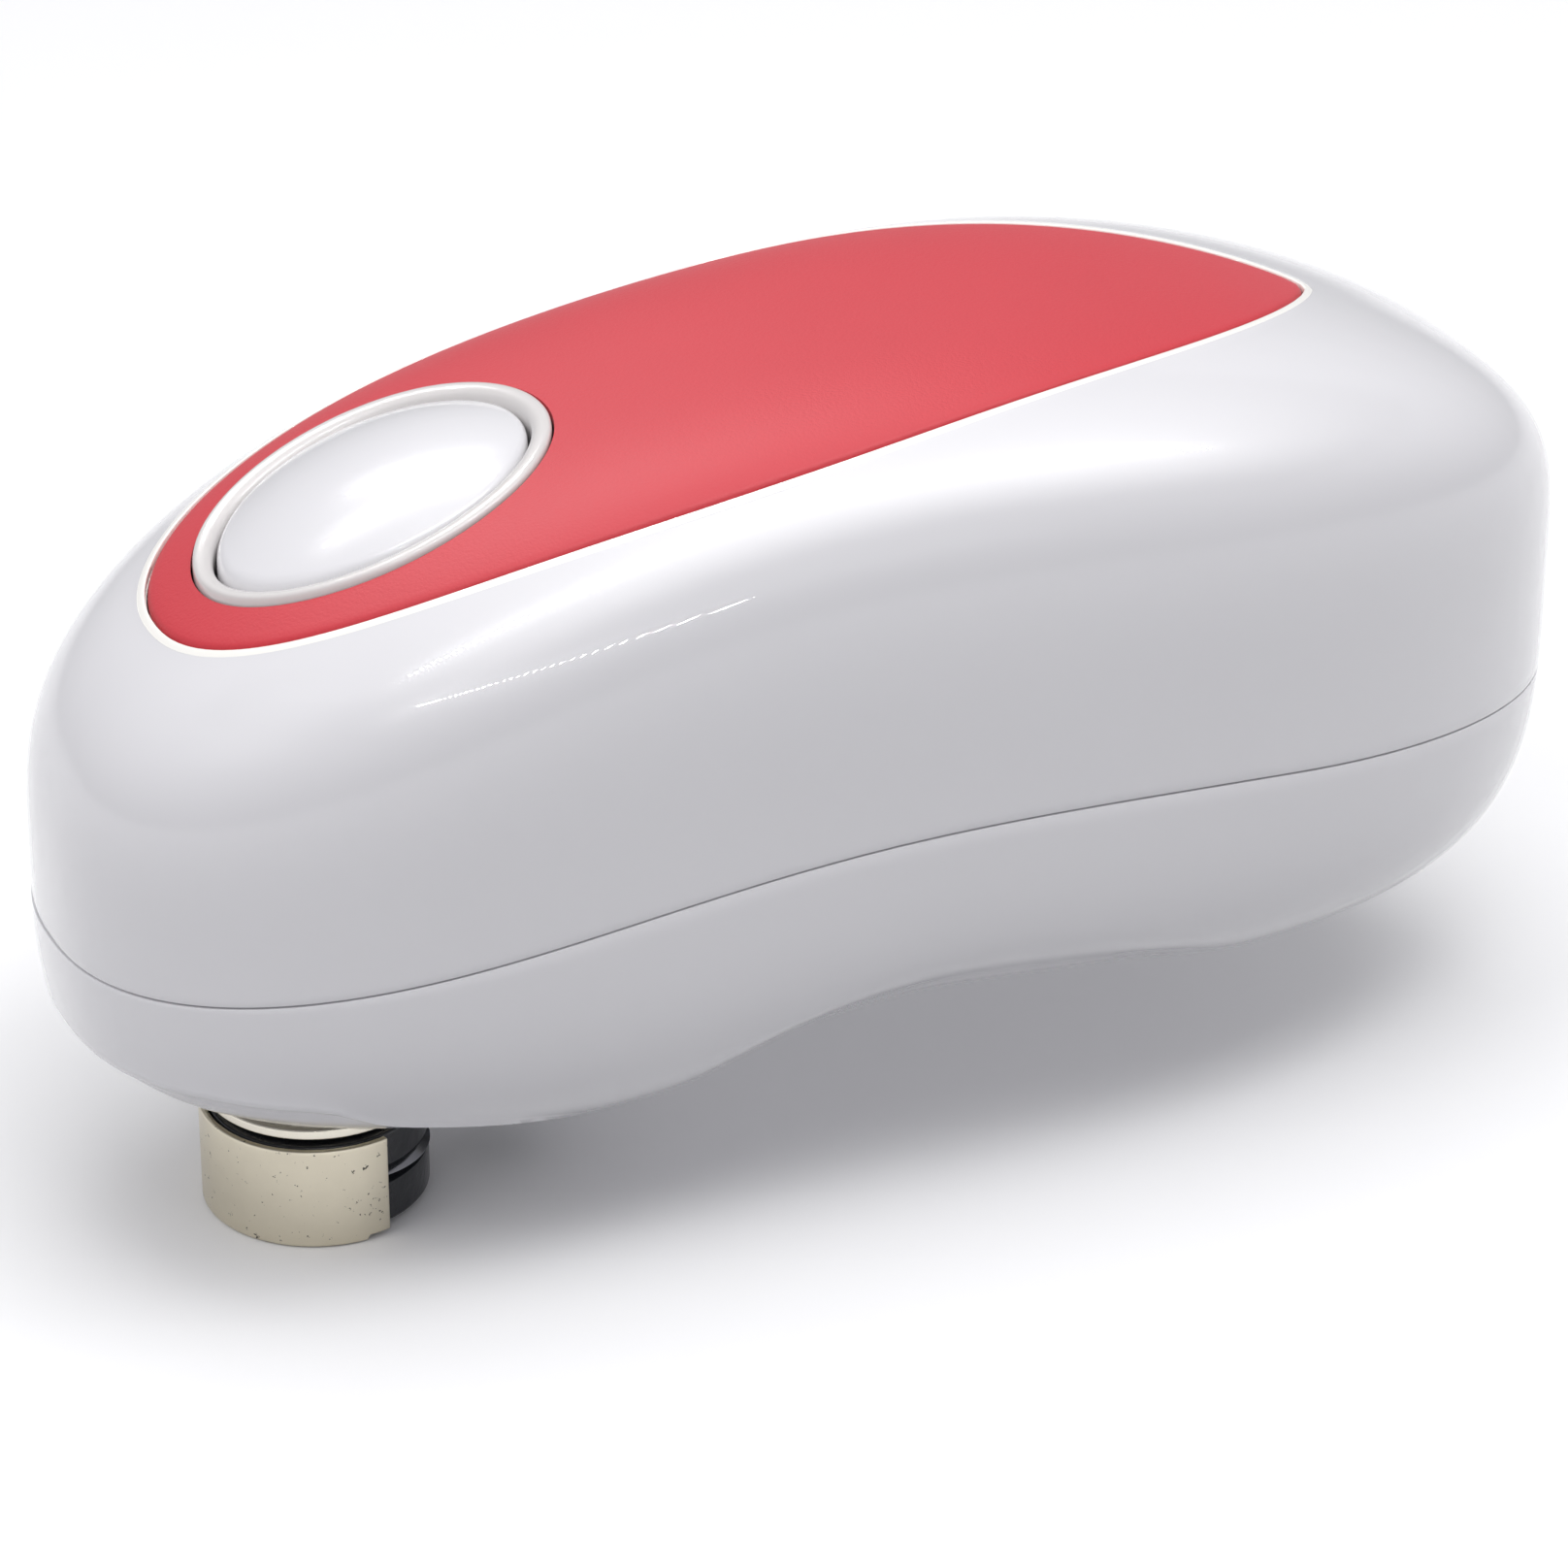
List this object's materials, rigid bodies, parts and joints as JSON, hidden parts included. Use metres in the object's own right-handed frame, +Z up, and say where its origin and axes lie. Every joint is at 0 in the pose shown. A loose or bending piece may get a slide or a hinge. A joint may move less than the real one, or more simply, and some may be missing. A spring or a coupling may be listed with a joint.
{
  "type": "electric can opener",
  "caption": "Battery can opener shaped like a computer mouse, with a start button, a grip panel and a swinging cutter turret under the nose.",
  "frame": {"origin": "below the middle of the housing, level with the lower face of the cutter turret", "axes": "+X from the nose with the button and cutter to the tail, +Y across the housing, +Z up"},
  "size_m": [0.1846, 0.0792, 0.0967],
  "materials": {
    "white_shell": "glossy injection-moulded ABS",
    "red_grip": "satin soft-touch rubber",
    "zinc_steel": "zinc-plated pressed steel",
    "machined_steel": "turned and ground steel",
    "spring_steel": "bright nickel-plated spring steel",
    "cell_wrap": "printed shrink sleeve without lettering",
    "black_plastic": "black moulded ABS",
    "acetal": "natural acetal with a thin film of grease",
    "black_rubber": "moulded friction rubber",
    "nickel": "satin nickel plate with a warm tint",
    "hardened_steel": "hardened and ground tool steel",
    "red_plastic": "moulded switch plunger",
    "red_lead": "PVC insulated lead",
    "black_lead": "PVC insulated lead"
  },
  "bodies": {
    "housing": {"upper_housing": "white_shell", "lower_housing": "white_shell", "grip_panel": "red_grip", "housing_screw_1": "zinc_steel", "housing_screw_2": "zinc_steel", "housing_screw_3": "zinc_steel", "housing_screw_4": "zinc_steel", "battery_tray": "black_plastic", "battery_cell_1": "cell_wrap", "battery_cell_2": "cell_wrap", "battery_cell_3": "cell_wrap", "battery_cell_4": "cell_wrap", "contact_nose_left": "spring_steel", "contact_nose_middle": "spring_steel", "contact_nose_right": "spring_steel", "contact_tail_left": "spring_steel", "contact_tail_right": "spring_steel", "gear_plate_lower": "zinc_steel", "gear_plate_upper": "zinc_steel", "plate_post_1": "zinc_steel", "plate_post_2": "zinc_steel", "plate_post_3": "zinc_steel", "plate_post_4": "zinc_steel", "axle_a": "machined_steel", "axle_b": "machined_steel", "axle_c": "machined_steel", "motor_can": "zinc_steel", "motor_end_cap": "black_plastic", "spindle_bush": "acetal", "turret_bush": "acetal", "switch_bracket": "zinc_steel", "micro_switch": "black_plastic", "button_spring": "spring_steel", "lead_switch_to_motor": "red_lead", "lead_battery_to_switch": "red_lead", "lead_motor_to_battery": "black_lead"},
    "button": {"start_button": "white_shell"},
    "plunger": {"switch_plunger": "red_plastic"},
    "door": {"battery_door": "white_shell"},
    "spindle": {"spindle": "machined_steel", "drive_wheel": "hardened_steel", "output_gear": "machined_steel", "friction_ring": "black_rubber", "spindle_clip": "spring_steel"},
    "gear_c": {"gear_c": "acetal"},
    "gear_b": {"gear_b": "acetal"},
    "gear_a": {"gear_a": "acetal"},
    "motor_rotor": {"motor_shaft": "machined_steel", "motor_pinion": "machined_steel"},
    "turret": {"turret_shaft": "nickel", "turret_sleeve": "nickel", "turret_core": "black_plastic", "lid_magnet": "nickel", "cutter_pin": "machined_steel", "friction_drum": "acetal", "turret_clip": "spring_steel"},
    "cutter": {"cutter_wheel": "hardened_steel"}
  },
  "joints": [
    {"name": "button_press", "type": "slide", "parent": "housing", "child": "button", "axis": [0, 0, -1], "range_m": [0, 0.002], "stiffness_N_per_m": 400, "springref_m": -0.002, "deforming": ["button_spring"]},
    {"name": "plunger_press", "type": "slide", "parent": "housing", "child": "plunger", "axis": [0, 0, -1], "range_m": [0, 0.002]},
    {"name": "door_swing", "type": "hinge", "parent": "housing", "child": "door", "pos_m": [0.0075, 0, 0.0196], "axis": [0, 1, 0], "range_deg": [0, 80]},
    {"name": "spindle_spin", "type": "hinge", "parent": "housing", "child": "spindle", "pos_m": [-0.0395, 0, 0.03], "axis": [0, 0, 1], "continuous": true},
    {"name": "gear_c_spin", "type": "hinge", "parent": "housing", "child": "gear_c", "pos_m": [-0.0199, -0.00633, 0.03], "axis": [0, 0, 1], "continuous": true},
    {"name": "gear_b_spin", "type": "hinge", "parent": "housing", "child": "gear_b", "pos_m": [-0.02242, 0.01119, 0.038], "axis": [0, 0, 1], "continuous": true},
    {"name": "gear_a_spin", "type": "hinge", "parent": "housing", "child": "gear_a", "pos_m": [-0.00833, 0.00575, 0.045], "axis": [0, 0, 1], "continuous": true},
    {"name": "motor_spin", "type": "hinge", "parent": "housing", "child": "motor_rotor", "pos_m": [-0.00077, -0.00555, 0.05], "axis": [0, 0, 1], "continuous": true},
    {"name": "turret_swing", "type": "hinge", "parent": "housing", "child": "turret", "pos_m": [-0.062, 0, 0.01], "axis": [0, 0, 1], "range_deg": [0, 48]},
    {"name": "cutter_spin", "type": "hinge", "parent": "turret", "child": "cutter", "pos_m": [-0.05952, -0.00275, 0.007], "axis": [0, 0, 1], "continuous": true}
  ],
  "couplings": [
    {"joint": "plunger_press", "follows": "button_press", "ratio": 1},
    {"joint": "gear_a_spin", "follows": "motor_spin", "ratio": -0.22727},
    {"joint": "gear_b_spin", "follows": "motor_spin", "ratio": 0.056818},
    {"joint": "gear_c_spin", "follows": "motor_spin", "ratio": -0.016711},
    {"joint": "spindle_spin", "follows": "motor_spin", "ratio": 0.0061275}
  ]
}
